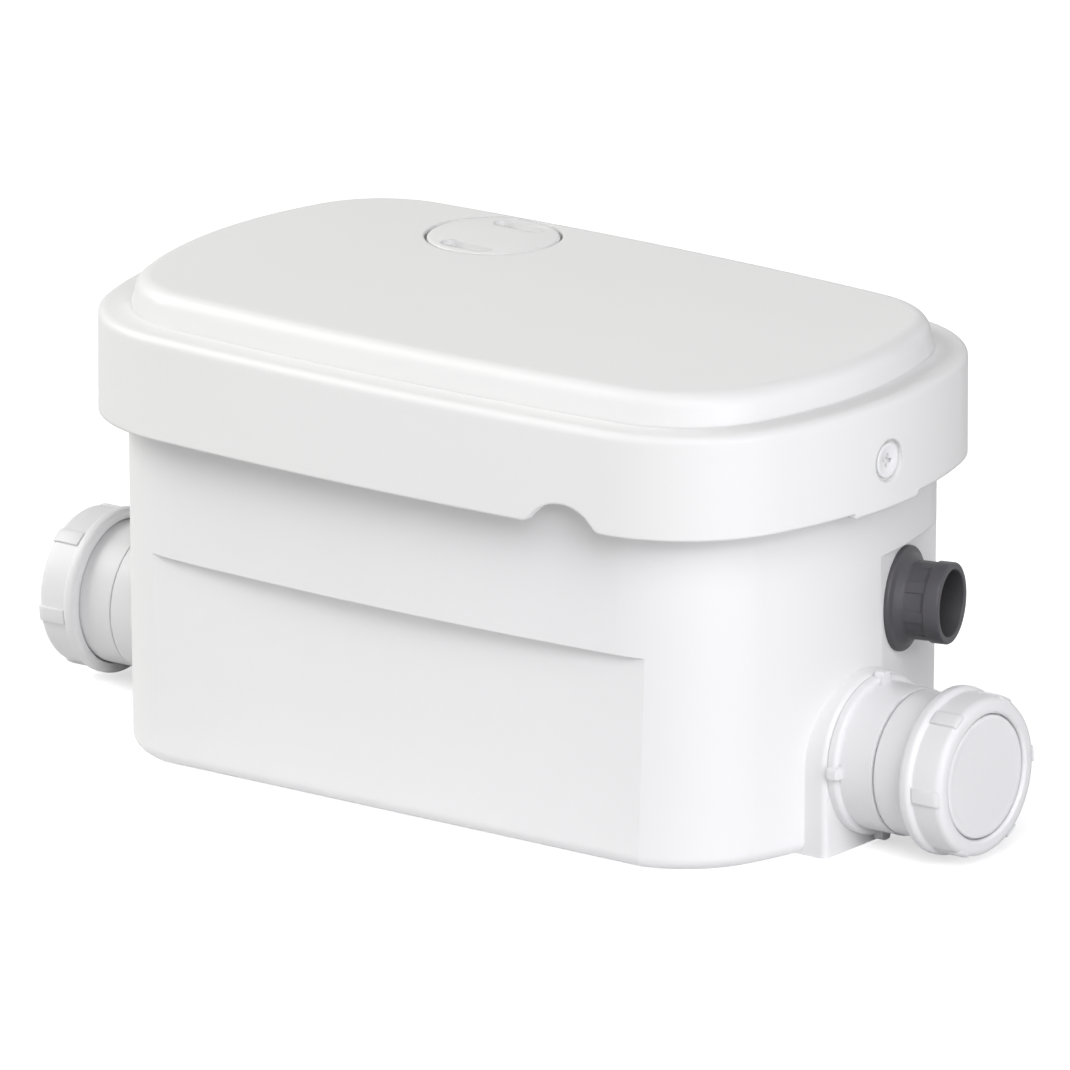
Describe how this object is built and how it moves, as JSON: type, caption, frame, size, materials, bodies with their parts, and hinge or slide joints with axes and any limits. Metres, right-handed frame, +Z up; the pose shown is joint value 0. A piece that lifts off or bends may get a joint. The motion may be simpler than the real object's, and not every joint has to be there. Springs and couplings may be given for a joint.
{
  "type": "wastewater lifting station",
  "caption": "Small greywater lifting station: white tank with lift-off lid, two capped waste inlets, a discharge spigot, and a pump, check valve and level switch inside.",
  "frame": {"origin": "middle of the tank's base, on the surface it stands on", "axes": "+X towards the end with the discharge spigot, +Y towards the back, +Z up"},
  "size_m": [0.382, 0.184, 0.1663],
  "materials": {
    "white_tank": "satin white moulded plastic",
    "white_lid": "satin white moulded plastic",
    "white_fitting": "glossy white moulded plastic",
    "grey_spigot": "dark grey moulded plastic",
    "black_rubber": "black rubber",
    "black_plastic": "black moulded plastic",
    "stainless": "stainless steel",
    "brass_part": "brass",
    "alloy": "cast aluminium",
    "lamination": "varnished steel laminations",
    "copper_wire": "enamelled copper winding",
    "carbon": "carbon foam",
    "red_button": "red plastic"
  },
  "bodies": {
    "root": {"tank": "white_tank", "lid_gasket": "black_rubber", "discharge_spigot": "grey_spigot", "check_valve_body": "grey_spigot", "check_valve_pin": "stainless", "riser_pipe": "grey_spigot", "rubber_coupling": "black_rubber", "coupling_clamps": "stainless", "pump_casing": "black_plastic", "pump_cover": "black_plastic", "strainer": "black_plastic", "motor_can": "stainless", "motor_cap": "alloy", "stator": "lamination", "windings": "copper_wire", "motor_bearings": "stainless", "shaft_seal": "black_rubber", "dry_tray": "white_fitting", "cable_gland": "black_plastic", "cable_gland_nut": "black_plastic", "capacitor": "alloy", "capacitor_clip": "black_plastic", "terminal_block": "white_fitting", "terminal_screws": "stainless", "dip_tube": "white_fitting", "switch_housing": "white_fitting", "switch_cover": "white_fitting", "microswitch": "black_plastic", "inlet_connector_right": "white_fitting", "inlet_flap_pin_right": "stainless", "inlet_sleeve_right": "white_fitting", "inlet_connector_left": "white_fitting", "inlet_flap_pin_left": "stainless", "inlet_sleeve_left": "white_fitting"},
    "lid": {"lid": "white_lid"},
    "filter": {"filter_basket": "white_fitting", "carbon_filter": "carbon"},
    "vent_cap": {"vent_cap": "white_lid", "vent_oring": "black_rubber"},
    "lid_screw_right": {"lid_screw_right": "white_fitting"},
    "lid_screw_nut_right": {"lid_screw_nut_right": "brass_part"},
    "blanking_disc_right": {"blanking_disc_right": "white_fitting", "inlet_washer_right": "black_rubber"},
    "union_nut_right": {"union_nut_right": "white_fitting"},
    "inlet_flap_right": {"inlet_flap_right": "black_rubber"},
    "lid_screw_left": {"lid_screw_left": "white_fitting"},
    "lid_screw_nut_left": {"lid_screw_nut_left": "brass_part"},
    "blanking_disc_left": {"blanking_disc_left": "white_fitting", "inlet_washer_left": "black_rubber"},
    "union_nut_left": {"union_nut_left": "white_fitting"},
    "inlet_flap_left": {"inlet_flap_left": "black_rubber"},
    "check_flap": {"check_valve_flap": "black_rubber"},
    "pump_rotor": {"impeller": "black_plastic", "motor_shaft": "stainless", "rotor": "lamination"},
    "switch_plunger": {"switch_plunger": "white_fitting", "switch_membrane": "black_rubber"},
    "switch_lever": {"switch_lever": "stainless"},
    "switch_button": {"microswitch_button": "red_button"}
  },
  "joints": [
    {"name": "lid_lift", "type": "slide", "parent": "root", "child": "lid", "axis": [0, 0, 1], "range_m": [0, 0.06]},
    {"name": "filter_lift", "type": "slide", "parent": "lid", "child": "filter", "axis": [0, 0, 1], "range_m": [0, 0.05]},
    {"name": "vent_cap_turn", "type": "hinge", "parent": "filter", "child": "vent_cap", "pos_m": [-0.0535, 0.0496, 0.1663], "axis": [0, 0, 1], "range_deg": [0, 45]},
    {"name": "lid_screw_right_turn", "type": "hinge", "parent": "lid", "child": "lid_screw_right", "pos_m": [0.15, 0, 0.134], "axis": [1, 0, 0], "range_deg": [0, 455]},
    {"name": "lid_screw_nut_right_travel", "type": "slide", "parent": "lid", "child": "lid_screw_nut_right", "axis": [-1, 0, 0], "range_m": [0, 0.001]},
    {"name": "blanking_disc_right_travel", "type": "slide", "parent": "root", "child": "blanking_disc_right", "axis": [1, 0, 0], "range_m": [0, 0.0161]},
    {"name": "union_nut_right_turn", "type": "hinge", "parent": "blanking_disc_right", "child": "union_nut_right", "pos_m": [0.185, 0, 0.0305], "axis": [1, 0, 0], "range_deg": [0, 1440]},
    {"name": "inlet_flap_right_swing", "type": "hinge", "parent": "root", "child": "inlet_flap_right", "pos_m": [0.127, 0, 0.0555], "axis": [0, 1, 0], "range_deg": [0, 70]},
    {"name": "lid_screw_left_turn", "type": "hinge", "parent": "lid", "child": "lid_screw_left", "pos_m": [-0.15, 0, 0.134], "axis": [-1, 0, 0], "range_deg": [0, 455]},
    {"name": "lid_screw_nut_left_travel", "type": "slide", "parent": "lid", "child": "lid_screw_nut_left", "axis": [1, 0, 0], "range_m": [0, 0.001]},
    {"name": "blanking_disc_left_travel", "type": "slide", "parent": "root", "child": "blanking_disc_left", "axis": [-1, 0, 0], "range_m": [0, 0.0161]},
    {"name": "union_nut_left_turn", "type": "hinge", "parent": "blanking_disc_left", "child": "union_nut_left", "pos_m": [-0.185, 0, 0.0305], "axis": [-1, 0, 0], "range_deg": [0, 1440]},
    {"name": "inlet_flap_left_swing", "type": "hinge", "parent": "root", "child": "inlet_flap_left", "pos_m": [-0.127, 0, 0.0555], "axis": [0, -1, 0], "range_deg": [0, 70]},
    {"name": "check_flap_swing", "type": "hinge", "parent": "root", "child": "check_flap", "pos_m": [0.09715, 0.01994, 0.0876], "axis": [0.2588, -0.9659, 0], "range_deg": [0, 60]},
    {"name": "pump_spin", "type": "hinge", "parent": "root", "child": "pump_rotor", "pos_m": [-0.025, -0.02, 0.05], "axis": [0, 0, 1], "continuous": true},
    {"name": "plunger_rise", "type": "slide", "parent": "root", "child": "switch_plunger", "axis": [0, 0, 1], "range_m": [0, 0.002], "deforming": ["switch_membrane"]},
    {"name": "switch_lever_swing", "type": "hinge", "parent": "root", "child": "switch_lever", "pos_m": [0.07112, -0.04, 0.1214], "axis": [0, 1, 0], "range_deg": [0, 7.2]},
    {"name": "button_travel", "type": "slide", "parent": "root", "child": "switch_button", "axis": [0, 0, 1], "range_m": [0, 0.00115]}
  ],
  "couplings": [
    {"joint": "lid_screw_right_turn", "follows": "lid_screw_nut_right_travel", "rad_per_m": 7854},
    {"joint": "blanking_disc_right_travel", "follows": "union_nut_right_turn", "m_per_rad": 0.00063662},
    {"joint": "lid_screw_left_turn", "follows": "lid_screw_nut_left_travel", "rad_per_m": 7854},
    {"joint": "blanking_disc_left_travel", "follows": "union_nut_left_turn", "m_per_rad": 0.00063662},
    {"joint": "switch_lever_swing", "follows": "plunger_rise", "rad_per_m": 62},
    {"joint": "button_travel", "follows": "plunger_rise", "ratio": 0.565}
  ]
}
